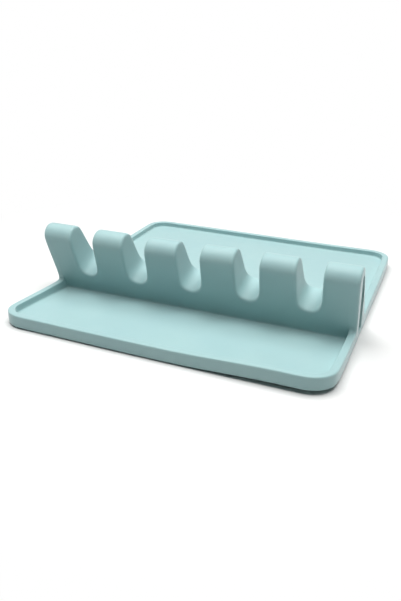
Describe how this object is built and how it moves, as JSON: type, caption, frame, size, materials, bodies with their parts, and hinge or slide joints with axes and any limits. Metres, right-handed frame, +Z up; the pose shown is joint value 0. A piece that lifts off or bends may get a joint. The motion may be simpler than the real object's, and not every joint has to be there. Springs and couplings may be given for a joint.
{
  "type": "utensil rest",
  "caption": "Square silicone utensil rest: a rimmed drip pad with a hollow, forward-leaning comb across it whose U slots hold spoon and spatula handles above the trays.",
  "frame": {"origin": "middle of the underside, on the worktop", "axes": "+Z up, +X to the right and -Y to the front, seen from the side that the comb leans towards"},
  "size_m": [0.2, 0.205, 0.0467],
  "materials": {
    "silicone": "matte moulded, pale teal"
  },
  "bodies": {
    "root": {"front_tray": "silicone", "rear_tray": "silicone", "comb_tooth_1": "silicone", "comb_tooth_2": "silicone", "comb_tooth_3": "silicone", "comb_tooth_4": "silicone", "comb_tooth_5": "silicone", "comb_tooth_6": "silicone"}
  },
  "joints": []
}
